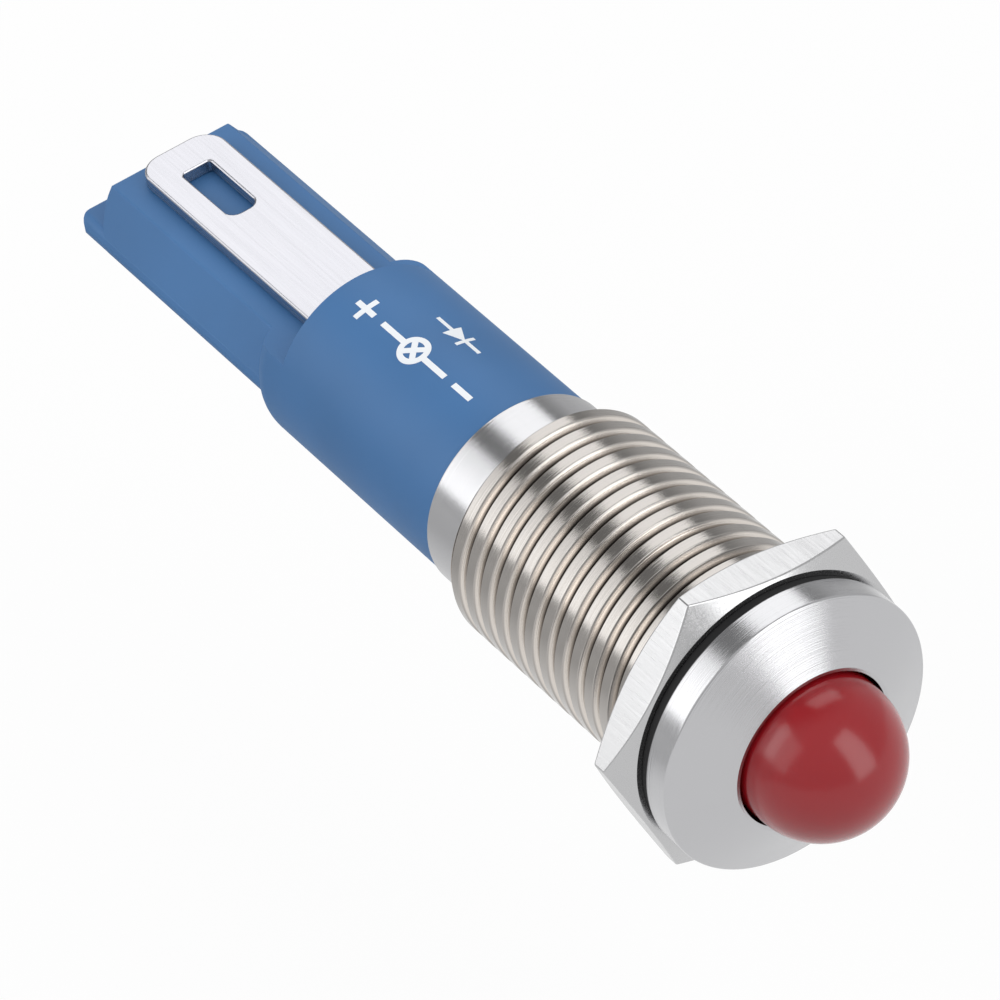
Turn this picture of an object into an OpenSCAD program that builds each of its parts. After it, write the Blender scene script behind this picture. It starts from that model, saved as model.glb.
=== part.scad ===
// Panel pilot light: a red 5 mm LED in a nickel-plated brass bushing with a
// threaded barrel, a gasket and a thin nut behind the panel, and a moulded rear
// housing whose tongue carries two slotted solder tabs.
// The panel's front face is at Y = 0, the lamp looks along -Y, the barrel and
// the tabs run back along +Y, and +Z is the side of the positive tab.

/* [Head] */
// Diameter of the flange in front of the panel
flange_d = 9.45; // [8.9:0.05:11]
// Thickness of the flange's cylindrical rim
rim_t = 0.95; // [0.5:0.05:2]
// Height of the cone in front of the rim
cone_t = 0.94; // [0.4:0.02:1.6]
// Break on the flange's rear edge
rim_break = 0.12; // [0.05:0.01:0.25]

/* [Barrel] */
// Major diameter of the thread
thread_d = 8; // [7.6:0.05:8.5]
// Pitch of the thread
thread_pitch = 0.75; // [0.5:0.05:1]
// Flat left on each crest of the thread
crest_t = 0.25; // [0.15:0.01:0.3]
// Shortest distance from the panel face to the thread's first crest
thread_from = 1.55; // [1.3:0.05:2.5]
// Wall between the undercut and the bore
relief_wall = 0.475; // [0.4:0.025:0.6]
// Length from the panel face to the rear end of the thread
thread_l = 10.9; // [10:0.1:16]
// Wall of the plain collar behind the thread
collar_wall = 0.38; // [0.3:0.02:0.5]
// Length of the plain collar
collar_t = 1.94; // [1:0.02:4]

/* [Nut and gasket] */
// Thickness of the gasket
gasket_t = 0.3; // [0.2:0.05:1]
// Outer diameter of the gasket
gasket_d = 9.2; // [8.8:0.05:9.4]
// Width of the nut across its flats
nut_af = 9.8; // [9.4:0.1:12]
// Thickness of the nut
nut_t = 1.35; // [1:0.05:3]
// Distance of the chamfers' inner edge from the nut's flats
nut_face_in = 0.12; // [0:0.02:0.3]
// Slope of the nut's chamfers
nut_slope = 27; // [15:1:35]
// Turn of the nut about the barrel when it is tight
nut_turn = 9; // [0:1:59]

/* [Lamp] */
// Diameter of the lamp's dome and body
led_d = 5.1; // [4.8:0.05:5.3]
// Height of the lamp from its base to the tip of the dome
led_h = 8.6; // [7.6:0.1:10]
// How far the dome stands out of the head
led_proud = 2.83; // [2.4:0.01:3.4]
// How far the lamp's base flange stands out round its body
led_lip = 0.4; // [0.3:0.05:0.5]
// Clearance of the lamp's base flange in the bore
led_lip_clear = 0.1; // [0.05:0.01:0.15]
// Height of the cup that holds the chip, above the lamp's base
post_h = 4.9; // [4:0.1:5.4]
// Thickness of the lamp's base flange
led_flange_t = 1; // [0.6:0.1:1.4]
// Depth of the flat that marks the cathode on the base flange
led_flat = 0.35; // [0.2:0.05:0.38]
// Side of the lamp's square leads
lead_t = 0.5; // [0.4:0.05:0.6]
// Spacing of the lamp's leads
lead_pitch = 2.54; // [2.3:0.02:2.7]
// Thickness of the sealing ring in front of the base flange
seal_t = 0.4; // [0.2:0.05:0.8]
// Thickness of the spacer behind the lamp
spacer_t = 1.5; // [1:0.1:3]

/* [Rear housing] */
// Diameter of the housing behind the collar
body_d = 6.73; // [6.5:0.01:7]
// Length of the housing behind the collar
body_l = 9.86; // [9:0.1:16]
// Radius of the housing's rear shoulder
shoulder_r = 1; // [0.4:0.1:1.4]
// Length of the flats that are cut into the rear of the housing
flat_in = 1.76; // [1.2:0.02:2.4]
// Length of the tongue behind the housing
tongue_l = 9.1; // [7:0.1:14]
// Thickness of the tongue from flat to flat
tongue_t = 3.16; // [2.8:0.02:3.4]
// Width of the tongue's flats
tongue_flat_w = 4.5; // [3.6:0.1:4.8]
// Width of the tongue across its web
web_w = 6.5; // [5.8:0.1:6.6]
// Thickness of the web between the two tabs
web_t = 0.8; // [0.5:0.05:1.2]
// How far the web stands out behind the tongue
web_out = 0.8; // [0.3:0.05:2]
// Diameter of the space inside the housing
cavity_d = 4.6; // [4.5:0.02:4.8]
// Thickness of the wall that closes the housing's rear
back_wall_t = 3.1; // [2.8:0.05:3.6]
// Clearance of the housing's spigot in the bore
spigot_clear = 0.05; // [0.02:0.01:0.1]
// Thickness of the rubber ring on the spigot
ring_t = 0.42; // [0.3:0.02:0.44]
// Distance of the rubber ring from the spigot's front end
ring_in = 3; // [1.5:0.1:5]

/* [Solder tabs] */
// Width of a tab
tab_w = 2.95; // [2.4:0.05:3.2]
// Thickness of a tab
tab_t = 0.5; // [0.3:0.05:0.6]
// How far a tab stops short of the tongue's end
tab_short = 0.3; // [0.1:0.05:1]
// Radius of the corners at a tab's end
tab_corner_r = 0.85; // [0.3:0.05:1]
// Width of the slot for the wire
slot_w = 1.06; // [0.7:0.02:1.4]
// Length of the slot for the wire
slot_l = 2.8; // [1.6:0.1:3.6]
// Distance of the slot from the tab's end
slot_in = 1.36; // [0.9:0.02:2.4]
// Width of a tab's tail inside the housing
tail_w = 1.3; // [0.8:0.05:1.4]
// Depth of a tab's shoulder in the rear wall
tab_seat = 0.9; // [0.5:0.1:1.2]

/* [Circuit] */
// Thickness of the circuit board
board_t = 0.8; // [0.6:0.05:1]
// Width of the circuit board
board_w = 4.1; // [3.8:0.05:4.3]
// Distance of the circuit board from the spacer behind the lamp
board_in = 1.72; // [1.4:0.02:2.2]
// Distance of the circuit board from the wall behind it
board_off = 0.9; // [0.5:0.05:1]
// Length of a lead or tail that lies on the board
lap_l = 1.8; // [1.2:0.1:2.2]
// Distance from the board's front end to the middle of the resistor and the diode
resistor_in = 4.9; // [4.6:0.1:5.2]
// Length of the resistor
resistor_l = 3.2; // [2:0.1:3.6]
// Width of the resistor
resistor_w = 1.6; // [0.8:0.1:2]
// Height of the resistor
resistor_h = 0.6; // [0.4:0.05:0.8]
// Length of a metal cap at the resistor's end
cap_l = 0.5; // [0.3:0.05:0.7]
// Length of the diode's moulded body
diode_l = 2.7; // [1.6:0.1:3]
// Width of the diode's moulded body
diode_w = 1.6; // [0.8:0.1:1.8]
// Height of the diode's moulded body
diode_h = 1.05; // [0.6:0.05:1.2]
// Thickness of the sealing compound round the tails
potting_t = 1.6; // [1.2:0.1:2]

/* [Hidden] */
$fn = 96;

brass_plated = "#c9c5bd";
nut_bright = "#d8d6d2";
rubber_black = "#1c1c1e";
red_epoxy = "#a3282c";
blue_plastic = "#3f72a8";
tin_bright = "#e4e4e8";
gold = "#d4a63a";

overcut = 0.5;             // how far a cutting tool runs past what it cuts
fine = 0.02;               // smallest step between two faces that must not meet

// Places along the axis, as distances behind the panel's front face
head_front = -(rim_t + cone_t);
led_tip = head_front - led_proud;
led_base = led_tip + led_h;
led_seat = led_base - led_flange_t - seal_t;
spigot_front = led_base + spacer_t;
collar_end = thread_l + collar_t;
body_end = collar_end + body_l;
flat_start = body_end - flat_in;
tongue_end = body_end + tongue_l;
tab_end = tongue_end - tab_short;
back_wall = body_end - back_wall_t;
seat_end = flat_start - tab_seat;

// Barrel, whose bore takes the lamp's base flange
led_flange_d = led_d + 2 * led_lip;
bore_d = led_flange_d + 2 * led_lip_clear;
collar_d = bore_d + 2 * collar_wall;
relief_d = bore_d + 2 * relief_wall;
thread_r = thread_d / 2;
groove_w = thread_pitch - crest_t;
groove_h = groove_w / 2 * tan(60);
runout_t = thread_r - relief_d / 2;
thread_turns = floor((thread_l - thread_from - crest_t) / thread_pitch);
thread_start = thread_l - thread_turns * thread_pitch - crest_t;
relief_t = thread_start - runout_t;
nut_sink = 0.2;            // countersink at each end of the nut's bore
lens_clear = 0.12;
lens_hole_d = led_d + 2 * lens_clear;
nut_clear = 0.05;

// Lamp, whose inner parts follow its own base
post_top = led_base - post_h;
cup_d = 1.1;
cup_rim = 0.1;
cup_h = 0.5;
cup_floor = 0.2;
cup_x = -0.5;
chip_w = 0.36;
chip_h = 0.16;
chip_clear = 0.08;
cathode_post_w = 1.7;
anode_post_w = 0.9;
wire_t = 0.1;
hole_clear = 0.08;         // clearance of a lead's corners in the spacer

// Housing
spigot_d = bore_d - 2 * spigot_clear;
groove_d = bore_d - 2 * ring_t;
ring_clear = 0.02;
web_corner_r = 0.48;
slot_corner_r = 0.37;

// Circuit
board_front = spigot_front + board_in;
board_end = back_wall - board_off;
resistor_at = board_front + resistor_in;
foot_l = 0.5;              // the diode's soldered feet
foot_w = 0.88;
foot_t = 0.15;
drop_h = 0.3;
drop_spread = 0.2;         // how far a drop of solder stands out round its lead

// Places a shape drawn along +Z, which becomes the way back from the panel
module on_axis() {
    rotate([90, 0, 180]) children();
}

// A solid turned from a half section of [radius, distance behind the panel]
module turned(section) {
    on_axis() rotate_extrude() polygon(section);
}

// A flat part drawn as [across, distance behind the panel], centred on height
module flat_part(thickness, height = 0) {
    on_axis()
        translate([0, height + thickness / 2, 0])
            rotate([90, 0, 0])
                linear_extrude(thickness) children();
}

// A bent strip drawn as [distance behind the panel, height], centred on across
module bent_strip(width, across = 0) {
    translate([across - width / 2, 0, 0])
        rotate([90, 0, 90])
            linear_extrude(width) children();
}

// ---- head and barrel ------------------------------------------------------

// The crests and grooves of the thread, from its front to its rear
function thread_section() = [
    for (turn = [0 : thread_turns - 1], step = [0 : 2])
        let (at = thread_start + turn * thread_pitch)
        step == 0 ? [thread_r, at + crest_t] :
        step == 1 ? [thread_r - groove_h, at + crest_t + groove_w / 2] :
        [thread_r, at + thread_pitch]
];

module bezel_bushing() {
    color(brass_plated)
        turned(concat(
            [
                [lens_hole_d / 2, head_front],
                [flange_d / 2, -rim_t],
                [flange_d / 2, -rim_break],
                [flange_d / 2 - rim_break, 0],
                [relief_d / 2, 0],
                [relief_d / 2, relief_t],
                [thread_r, thread_start]
            ],
            thread_section(),
            [
                [thread_r, thread_l],
                [collar_d / 2, thread_l + (thread_d - collar_d) / 4],
                [collar_d / 2, collar_end],
                [bore_d / 2, collar_end],
                [bore_d / 2, led_seat],
                [lens_hole_d / 2, led_seat]
            ]
        ));
}

module panel_gasket() {
    color(rubber_black)
        turned([
            [thread_r + nut_clear, 0],
            [gasket_d / 2, 0],
            [gasket_d / 2, gasket_t],
            [thread_r + nut_clear, gasket_t]
        ]);
}

module panel_nut() {
    corner_r = nut_af / sqrt(3);
    nut_face_r = nut_af / 2 - nut_face_in;
    chamfer_h = (corner_r - nut_face_r) * tan(nut_slope);
    bore_r = thread_r + nut_clear;
    color(nut_bright)
        difference() {
            intersection() {
                on_axis()
                    translate([0, 0, gasket_t])
                        rotate([0, 0, nut_turn])
                            cylinder(h = nut_t, r = corner_r, $fn = 6);
                turned([
                    [0, gasket_t],
                    [nut_face_r, gasket_t],
                    [corner_r, gasket_t + chamfer_h],
                    [corner_r, gasket_t + nut_t - chamfer_h],
                    [nut_face_r, gasket_t + nut_t],
                    [0, gasket_t + nut_t]
                ]);
            }
            on_axis()
                translate([0, 0, gasket_t - overcut])
                    cylinder(h = nut_t + 2 * overcut, r = bore_r);
            for (face = [gasket_t, gasket_t + nut_t])
                turned([
                    [0, face - nut_sink],
                    [bore_r, face - nut_sink],
                    [bore_r + nut_sink, face],
                    [bore_r, face + nut_sink],
                    [0, face + nut_sink]
                ]);
        }
}

// ---- lamp -----------------------------------------------------------------

// The frame that holds the chip, from the lamp's base into the dome
module cathode_post() {
    across = -lead_pitch / 2;
    flat_part(lead_t)
        translate([across - lead_t / 2, post_top + cup_h])
            square([cathode_post_w, led_base - post_top - cup_h]);
    difference() {
        on_axis()
            translate([cup_x, 0, post_top])
                cylinder(h = cup_h, d = cup_d);
        on_axis()
            translate([cup_x, 0, post_top - fine])
                cylinder(h = cup_h - cup_floor + fine, r1 = cup_d / 2 - cup_rim, r2 = chip_w / 2 + chip_clear);
    }
}

module anode_post() {
    across = lead_pitch / 2;
    flat_part(lead_t)
        polygon([
            [across - lead_t / 2, led_base],
            [across + lead_t / 2, led_base],
            [across + lead_t / 2, post_top],
            [across + lead_t / 2 - anode_post_w, post_top],
            [across + lead_t / 2 - anode_post_w, post_top + anode_post_w]
        ]);
}

// A lead from the lamp's base, through the spacer and up onto the board
module lead_tail(across) {
    rise = board_t / 2 + lead_t / 2;
    jog = board_front - spigot_front - fine;
    half = lead_t / 2;
    bent_strip(lead_t, across)
        polygon([
            [led_base, -half],
            [spigot_front, -half],
            [spigot_front + jog, rise - half],
            [board_front + lap_l, rise - half],
            [board_front + lap_l, rise + half],
            [spigot_front + jog - half / 2, rise + half],
            [spigot_front - half / 2, half],
            [led_base, half]
        ]);
}

module led_chip() {
    color(gold)
        on_axis()
            translate([cup_x - chip_w / 2, -chip_w / 2, post_top + cup_h - cup_floor - chip_h])
                cube([chip_w, chip_w, chip_h]);
}

// The wire leaves the chip's front, arches over and lands on the anode post
module led_bond_wire() {
    wire_from = cup_x;
    wire_to = lead_pitch / 2 + lead_t / 2 - anode_post_w / 2;
    wire_r = (wire_to - wire_from) / 2;
    foot = cup_h - cup_floor - chip_h;
    color(gold)
        union() {
            on_axis()
                translate([wire_from + wire_r, 0, post_top])
                    rotate([-90, 0, 0])
                        rotate_extrude(angle = 180)
                            translate([wire_r, 0]) circle(d = wire_t, $fn = 24);
            on_axis()
                translate([wire_from, 0, post_top])
                    cylinder(h = foot, d = wire_t, $fn = 24);
        }
}

module led_cathode_lead() {
    color(tin_bright)
        union() {
            cathode_post();
            lead_tail(lead_pitch / 2);
        }
}

module led_anode_lead() {
    color(tin_bright)
        union() {
            anode_post();
            lead_tail(-lead_pitch / 2);
        }
}

// Cast round the posts, the chip and its wire
module led_lens() {
    dome_r = led_d / 2;
    color(red_epoxy)
        difference() {
            union() {
                on_axis()
                    rotate_extrude()
                        intersection() {
                            translate([0, led_tip + dome_r]) circle(r = dome_r);
                            translate([0, led_tip]) square([dome_r, dome_r]);
                        }
                on_axis()
                    translate([0, 0, led_tip + dome_r])
                        cylinder(h = led_base - led_tip - dome_r, r = dome_r);
                difference() {
                    on_axis()
                        translate([0, 0, led_base - led_flange_t])
                            cylinder(h = led_flange_t, d = led_flange_d);
                    on_axis()
                        translate([-led_flange_d / 2 - overcut, -led_d, led_base - led_flange_t - overcut])
                            cube([led_flat + overcut, 2 * led_d, led_flange_t + 2 * overcut]);
                }
            }
            cathode_post();
            anode_post();
            led_chip();
            led_bond_wire();
        }
}

module lens_seal() {
    color(rubber_black)
        turned([
            [lens_hole_d / 2, led_seat],
            [bore_d / 2 - ring_clear, led_seat],
            [bore_d / 2 - ring_clear, led_seat + seal_t],
            [lens_hole_d / 2, led_seat + seal_t]
        ]);
}

module led_spacer() {
    hole_r = lead_t / sqrt(2) + hole_clear;
    color("white")
        difference() {
            turned([
                [0, led_base],
                [spigot_d / 2, led_base],
                [spigot_d / 2, spigot_front],
                [0, spigot_front]
            ]);
            for (side = [-1, 1])
                on_axis()
                    translate([side * lead_pitch / 2, 0, led_base - overcut])
                        cylinder(h = spacer_t + 2 * overcut, r = hole_r, $fn = 32);
        }
}

// ---- rear housing ---------------------------------------------------------

// Half section of the housing's body, with its rear shoulder rounded
module body_section() {
    body_r = body_d / 2;
    translate([0, collar_end]) square([body_r, body_l - shoulder_r]);
    translate([0, collar_end]) square([body_r - shoulder_r, body_l]);
    translate([body_r - shoulder_r, body_end - shoulder_r])
        intersection() {
            circle(r = shoulder_r);
            square(shoulder_r);
        }
}

// Section of the tongue: two flats, sloping flanks and a web with round edges
module tongue_section() {
    half_web = web_w / 2 - web_t / 2;
    polygon([
        for (up = [1, -1], side = [1, -1])
            [up * side * tongue_flat_w / 2, up * tongue_t / 2]
    ]);
    for (side = [-1, 1]) {
        polygon([
            [0, tongue_t / 2],
            [side * tongue_flat_w / 2, tongue_t / 2],
            [side * (half_web + web_t / 2 * sin(45)), web_t / 2 * cos(45)],
            [side * (half_web + web_t / 2 * sin(45)), -web_t / 2 * cos(45)],
            [side * tongue_flat_w / 2, -tongue_t / 2],
            [0, -tongue_t / 2]
        ]);
        translate([side * half_web, 0]) circle(d = web_t);
    }
}

// Room for one tab: its blade on the flat, and its narrower tail further in
module tab_passage(up) {
    low = up > 0 ? tongue_t / 2 : -tongue_t / 2 - tab_t;
    on_axis()
        translate([-tab_w / 2, low, seat_end])
            cube([tab_w, tab_t, flat_start - seat_end + overcut]);
    on_axis()
        translate([-tail_w / 2, low, back_wall - overcut])
            cube([tail_w, tab_t, seat_end - back_wall + 2 * overcut]);
}

module rear_housing() {
    ring_at = spigot_front + ring_in;
    color(blue_plastic)
        difference() {
            union() {
                on_axis() rotate_extrude() body_section();
                turned([
                    [0, spigot_front],
                    [spigot_d / 2, spigot_front],
                    [spigot_d / 2, ring_at],
                    [groove_d / 2, ring_at],
                    [groove_d / 2, ring_at + ring_t + 2 * ring_clear],
                    [spigot_d / 2, ring_at + ring_t + 2 * ring_clear],
                    [spigot_d / 2, collar_end],
                    [0, collar_end]
                ]);
                on_axis()
                    translate([0, 0, body_end - shoulder_r])
                        linear_extrude(tongue_end - body_end + shoulder_r) tongue_section();
                on_axis()
                    translate([0, 0, tongue_end])
                        web_end();
            }
            for (up = [-1, 1])
                on_axis()
                    translate([-body_d, up > 0 ? tongue_t / 2 : -body_d, flat_start])
                        cube([2 * body_d, body_d - tongue_t / 2, tongue_end - flat_start + overcut]);
            turned([
                [0, spigot_front - overcut],
                [cavity_d / 2, spigot_front - overcut],
                [cavity_d / 2, back_wall],
                [0, back_wall]
            ]);
            tab_passage(1);
            tab_passage(-1);
        }
}

// The web's end behind the tongue, with its corners rounded
module web_end() {
    corner_r = min(web_out, web_corner_r);
    translate([0, -web_t / 2, 0])
        rotate([90, 0, 180])
            linear_extrude(web_t)
                union() {
                    translate([-web_w / 2, -fine]) square([web_w, web_out - corner_r + fine]);
                    translate([-web_w / 2 + corner_r, 0]) square([web_w - 2 * corner_r, web_out]);
                    for (side = [-1, 1])
                        translate([side * (web_w / 2 - corner_r), web_out - corner_r]) circle(r = corner_r);
                }
}

module housing_ring() {
    ring_at = spigot_front + ring_in;
    ring_r = ring_t / 2 - ring_clear;
    color(rubber_black)
        on_axis()
            rotate_extrude()
                translate([groove_d / 2 + ring_t / 2, ring_at + ring_t / 2 + ring_clear])
                    circle(r = ring_r, $fn = 32);
}

// ---- solder tabs ----------------------------------------------------------

// The blade's outline: straight sides, a rounded end and the slot for the wire
module blade_outline() {
    slot_end_r = min(slot_w / 2 - fine, slot_corner_r);
    slot_front = tab_end - slot_in - slot_l;
    difference() {
        union() {
            translate([-tab_w / 2, seat_end]) square([tab_w, tab_end - tab_corner_r - seat_end]);
            translate([-tab_w / 2 + tab_corner_r, seat_end])
                square([tab_w - 2 * tab_corner_r, tab_end - seat_end]);
            for (side = [-1, 1])
                translate([side * (tab_w / 2 - tab_corner_r), tab_end - tab_corner_r])
                    circle(r = tab_corner_r);
        }
        translate([-slot_w / 2, slot_front + slot_end_r]) square([slot_w, slot_l - slot_end_r]);
        translate([-slot_w / 2 + slot_end_r, slot_front]) square([slot_w - 2 * slot_end_r, slot_l]);
        for (side = [-1, 1])
            translate([side * (slot_w / 2 - slot_end_r), slot_front + slot_end_r])
                circle(r = slot_end_r);
    }
}

// A tab lies on the tongue's upper flat and its tail steps down to the board
module tab_blank() {
    low = tongue_t / 2;
    on_board = board_t / 2;
    step_from = back_wall;
    step_to = back_wall - (low - on_board);
    flat_part(tab_t, low + tab_t / 2) blade_outline();
    bent_strip(tail_w)
        polygon([
            [seat_end + fine, low],
            [seat_end + fine, low + tab_t],
            [step_from - tab_t / 2, low + tab_t],
            [step_to - tab_t / 2, on_board + tab_t],
            [board_end - lap_l, on_board + tab_t],
            [board_end - lap_l, on_board],
            [step_to, on_board],
            [step_from, low]
        ]);
}

module terminal_positive() {
    color(tin_bright) tab_blank();
}

module terminal_negative() {
    color(tin_bright) mirror([0, 0, 1]) tab_blank();
}

// Seals the rear of the housing round the tails and the board's end
module potting() {
    color("#2a2a2c")
        difference() {
            turned([
                [0, back_wall - potting_t],
                [cavity_d / 2, back_wall - potting_t],
                [cavity_d / 2, back_wall],
                [0, back_wall]
            ]);
            terminal_positive();
            terminal_negative();
            circuit_board();
            solder_joints();
        }
}

// ---- circuit --------------------------------------------------------------

module circuit_board() {
    color("#1e6b3c")
        flat_part(board_t)
            translate([-board_w / 2, board_front]) square([board_w, board_end - board_front]);
}

module series_resistor() {
    color("#26262a")
        flat_part(resistor_h, board_t / 2 + resistor_h / 2)
            translate([-resistor_w / 2, resistor_at - resistor_l / 2 + cap_l])
                square([resistor_w, resistor_l - 2 * cap_l]);
}

module resistor_caps() {
    color(tin_bright)
        for (end = [-1, 1])
            flat_part(resistor_h, board_t / 2 + resistor_h / 2)
                translate([-resistor_w / 2, resistor_at + end * (resistor_l - cap_l) / 2 - cap_l / 2])
                    square([resistor_w, cap_l]);
}

module protection_diode() {
    color("#26262a")
        flat_part(diode_h, -board_t / 2 - diode_h / 2)
            translate([-diode_w / 2, resistor_at - diode_l / 2])
                square([diode_w, diode_l]);
}

module diode_tabs() {
    color(tin_bright)
        for (end = [-1, 1])
            flat_part(foot_t, -board_t / 2 - foot_t / 2)
                translate([-foot_w / 2, resistor_at + end * (diode_l + foot_l) / 2 - foot_l / 2])
                    square([foot_w, foot_l]);
}

// One drop of solder, standing on the board round the end of a lead or tail
module solder_drop(across, at, width) {
    on_axis()
        translate([across, board_t / 2, at])
            rotate([-90, 0, 0])
                cylinder(h = drop_h, r1 = width / 2 + drop_spread, r2 = width / 2, $fn = 32);
}

module solder_joints() {
    color("#c8c8cc")
        difference() {
            union() {
                for (side = [-1, 1])
                    solder_drop(side * lead_pitch / 2, board_front + lap_l, 2 * lead_t);
                solder_drop(0, board_end - lap_l, tail_w);
                mirror([0, 0, 1]) solder_drop(0, board_end - lap_l, tail_w);
            }
            terminal_positive();
            terminal_negative();
            led_cathode_lead();
            led_anode_lead();
        }
}

bezel_bushing();
panel_gasket();
panel_nut();
led_lens();
led_cathode_lead();
led_anode_lead();
led_chip();
led_bond_wire();
lens_seal();
led_spacer();
rear_housing();
housing_ring();
terminal_positive();
terminal_negative();
potting();
circuit_board();
series_resistor();
resistor_caps();
protection_diode();
diode_tabs();
solder_joints();
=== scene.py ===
"""Panel pilot light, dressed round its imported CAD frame.

The lamp looks along -Y, the barrel and the solder tabs run back along +Y, and the positive tab is on +Z.
Pieces are modelled in millimetres, as on a workshop drawing, and brought to metres when they are finished.
"""

import logging
import math
from collections.abc import Callable, Iterator, Sequence
from contextlib import contextmanager
from dataclasses import dataclass
from enum import Enum

import bmesh
import bpy
from mathutils import Matrix, Vector


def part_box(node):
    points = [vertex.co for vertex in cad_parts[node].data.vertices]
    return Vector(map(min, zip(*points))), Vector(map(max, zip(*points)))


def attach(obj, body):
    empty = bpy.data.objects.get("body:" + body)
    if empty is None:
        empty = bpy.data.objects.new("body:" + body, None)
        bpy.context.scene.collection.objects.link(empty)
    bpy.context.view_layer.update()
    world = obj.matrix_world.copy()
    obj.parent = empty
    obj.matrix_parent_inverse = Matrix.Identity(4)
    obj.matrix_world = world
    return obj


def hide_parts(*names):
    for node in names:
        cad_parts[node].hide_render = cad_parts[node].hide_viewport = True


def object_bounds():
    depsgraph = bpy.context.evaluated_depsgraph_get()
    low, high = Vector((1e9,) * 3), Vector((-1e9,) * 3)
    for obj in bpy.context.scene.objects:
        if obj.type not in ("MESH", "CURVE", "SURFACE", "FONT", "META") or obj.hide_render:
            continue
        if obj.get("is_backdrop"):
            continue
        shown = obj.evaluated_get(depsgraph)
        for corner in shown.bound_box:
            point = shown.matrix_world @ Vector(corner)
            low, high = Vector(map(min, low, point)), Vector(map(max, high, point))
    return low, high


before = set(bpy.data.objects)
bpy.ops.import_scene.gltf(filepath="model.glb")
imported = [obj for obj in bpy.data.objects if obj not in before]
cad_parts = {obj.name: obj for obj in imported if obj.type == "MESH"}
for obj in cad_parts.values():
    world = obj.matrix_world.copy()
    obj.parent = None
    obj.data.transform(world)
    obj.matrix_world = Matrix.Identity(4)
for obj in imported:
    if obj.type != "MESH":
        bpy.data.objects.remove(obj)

MM = 0.001  # metres in a millimetre
TURN = 2 * math.pi
QUARTER = math.pi / 2
FACETS = 192  # faces round a turned piece
MERGE = 1e-4  # millimetres within which two points are one
SMALL_ROUND = 0.3  # millimetres up to which three faces make a rounding
SEGMENTS_PER_MM = 12  # faces for each millimetre of a larger rounding's radius
FULL_ROUND = 0.98  # share of half a thickness that rounds an edge and leaves its two corners apart
CLEAR = 1.0  # millimetres by which a cutting tool stands out of the work
SHARP_DEG = 24  # edges that turn more than this stay sharp in the shading
NOISE_LOW = 0.3  # most of a noise lies between this
NOISE_HIGH = 0.7  # and this

Piece = bpy.types.Object
Tree = bpy.types.NodeTree
Socket = bpy.types.NodeSocket
Point = tuple[float, float]
Rounds = dict[int, float]
log = logging.getLogger("pilot_light")


# ---- frame ------------------------------------------------------------------


def box_mm(node: str) -> tuple[Vector, Vector]:
    """Returns the lowest and highest corner of a CAD node, in millimetres."""
    low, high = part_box(node)
    return low / MM, high / MM


def linear(colour: str) -> tuple[float, float, float, float]:
    """Turns an sRGB colour into the linear one that a shader takes.

    Args:
        colour: The colour as six hex digits after a hash.

    Returns:
        Red, green, blue and alpha.
    """
    parts = [int(colour[at : at + 2], 16) / 255 for at in (1, 3, 5)]
    red, green, blue = (p / 12.92 if p <= 0.04045 else ((p + 0.055) / 1.055) ** 2.4 for p in parts)
    return red, green, blue, 1.0


# ---- workshop ---------------------------------------------------------------


class Cut(Enum):
    """What a boolean modifier does with its tool."""

    JOIN = "UNION"
    REMOVE = "DIFFERENCE"
    KEEP_COMMON = "INTERSECT"


def take(piece: Piece) -> None:
    """Deselects all, then selects one piece and makes it active.

    Args:
        piece: The piece that the next operators act on.
    """
    bpy.ops.object.select_all(action="DESELECT")
    piece.select_set(True)
    bpy.context.view_layer.objects.active = piece


def settle(piece: Piece) -> None:
    """Makes a piece's place, turn and scale part of its mesh, so that its origin is the world's."""
    take(piece)
    bpy.ops.object.transform_apply(location=True, rotation=True, scale=True)


def stock(name: str, add: Callable[..., object], **settings: object) -> Piece:
    """Adds a primitive as a new piece of stock.

    Args:
        name: The new piece's name.
        add: The operator that adds it.
        settings: The operator's settings.

    Returns:
        The piece, whose place, turn and scale are part of its mesh.
    """
    bpy.ops.object.select_all(action="DESELECT")
    add(**settings)
    piece = bpy.context.active_object
    piece.name = name
    settle(piece)
    return piece


@contextmanager
def editing(piece: Piece) -> Iterator[None]:
    """Holds a piece in edit mode with all of it selected.

    Args:
        piece: The piece that the operators act on.

    Yields:
        Nothing.
    """
    take(piece)
    bpy.ops.object.mode_set(mode="EDIT")
    bpy.ops.mesh.select_mode(type="VERT")
    bpy.ops.mesh.select_all(action="SELECT")
    try:
        yield
    finally:
        bpy.ops.object.mode_set(mode="OBJECT")


def pick(piece: Piece, spot: Vector) -> None:
    """Selects the points at one spot, in edit mode.

    Args:
        piece: The piece in edit mode.
        spot: Where the points lie.
    """
    bpy.ops.mesh.select_all(action="DESELECT")
    mesh = bmesh.from_edit_mesh(piece.data)
    for point in mesh.verts:
        point.select_set((point.co - spot).length < MERGE)
    mesh.select_flush_mode()
    bmesh.update_edit_mesh(piece.data)


def seal(piece: Piece) -> None:
    """Merges doubled points and turns all faces outwards.

    Args:
        piece: The piece that is changed.
    """
    with editing(piece):
        bpy.ops.mesh.remove_doubles(threshold=MERGE)
        bpy.ops.mesh.normals_make_consistent(inside=False)


def apply_modifier(piece: Piece, kind: str, **settings: object) -> None:
    """Adds one modifier to a piece and applies it.

    Args:
        piece: The piece that is changed.
        kind: Blender's name for the modifier.
        settings: Its settings.
    """
    take(piece)
    modifier = piece.modifiers.new(kind.title(), kind)
    for name, value in settings.items():
        setattr(modifier, name, value)
    bpy.ops.object.modifier_apply(modifier=modifier.name)


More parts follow.
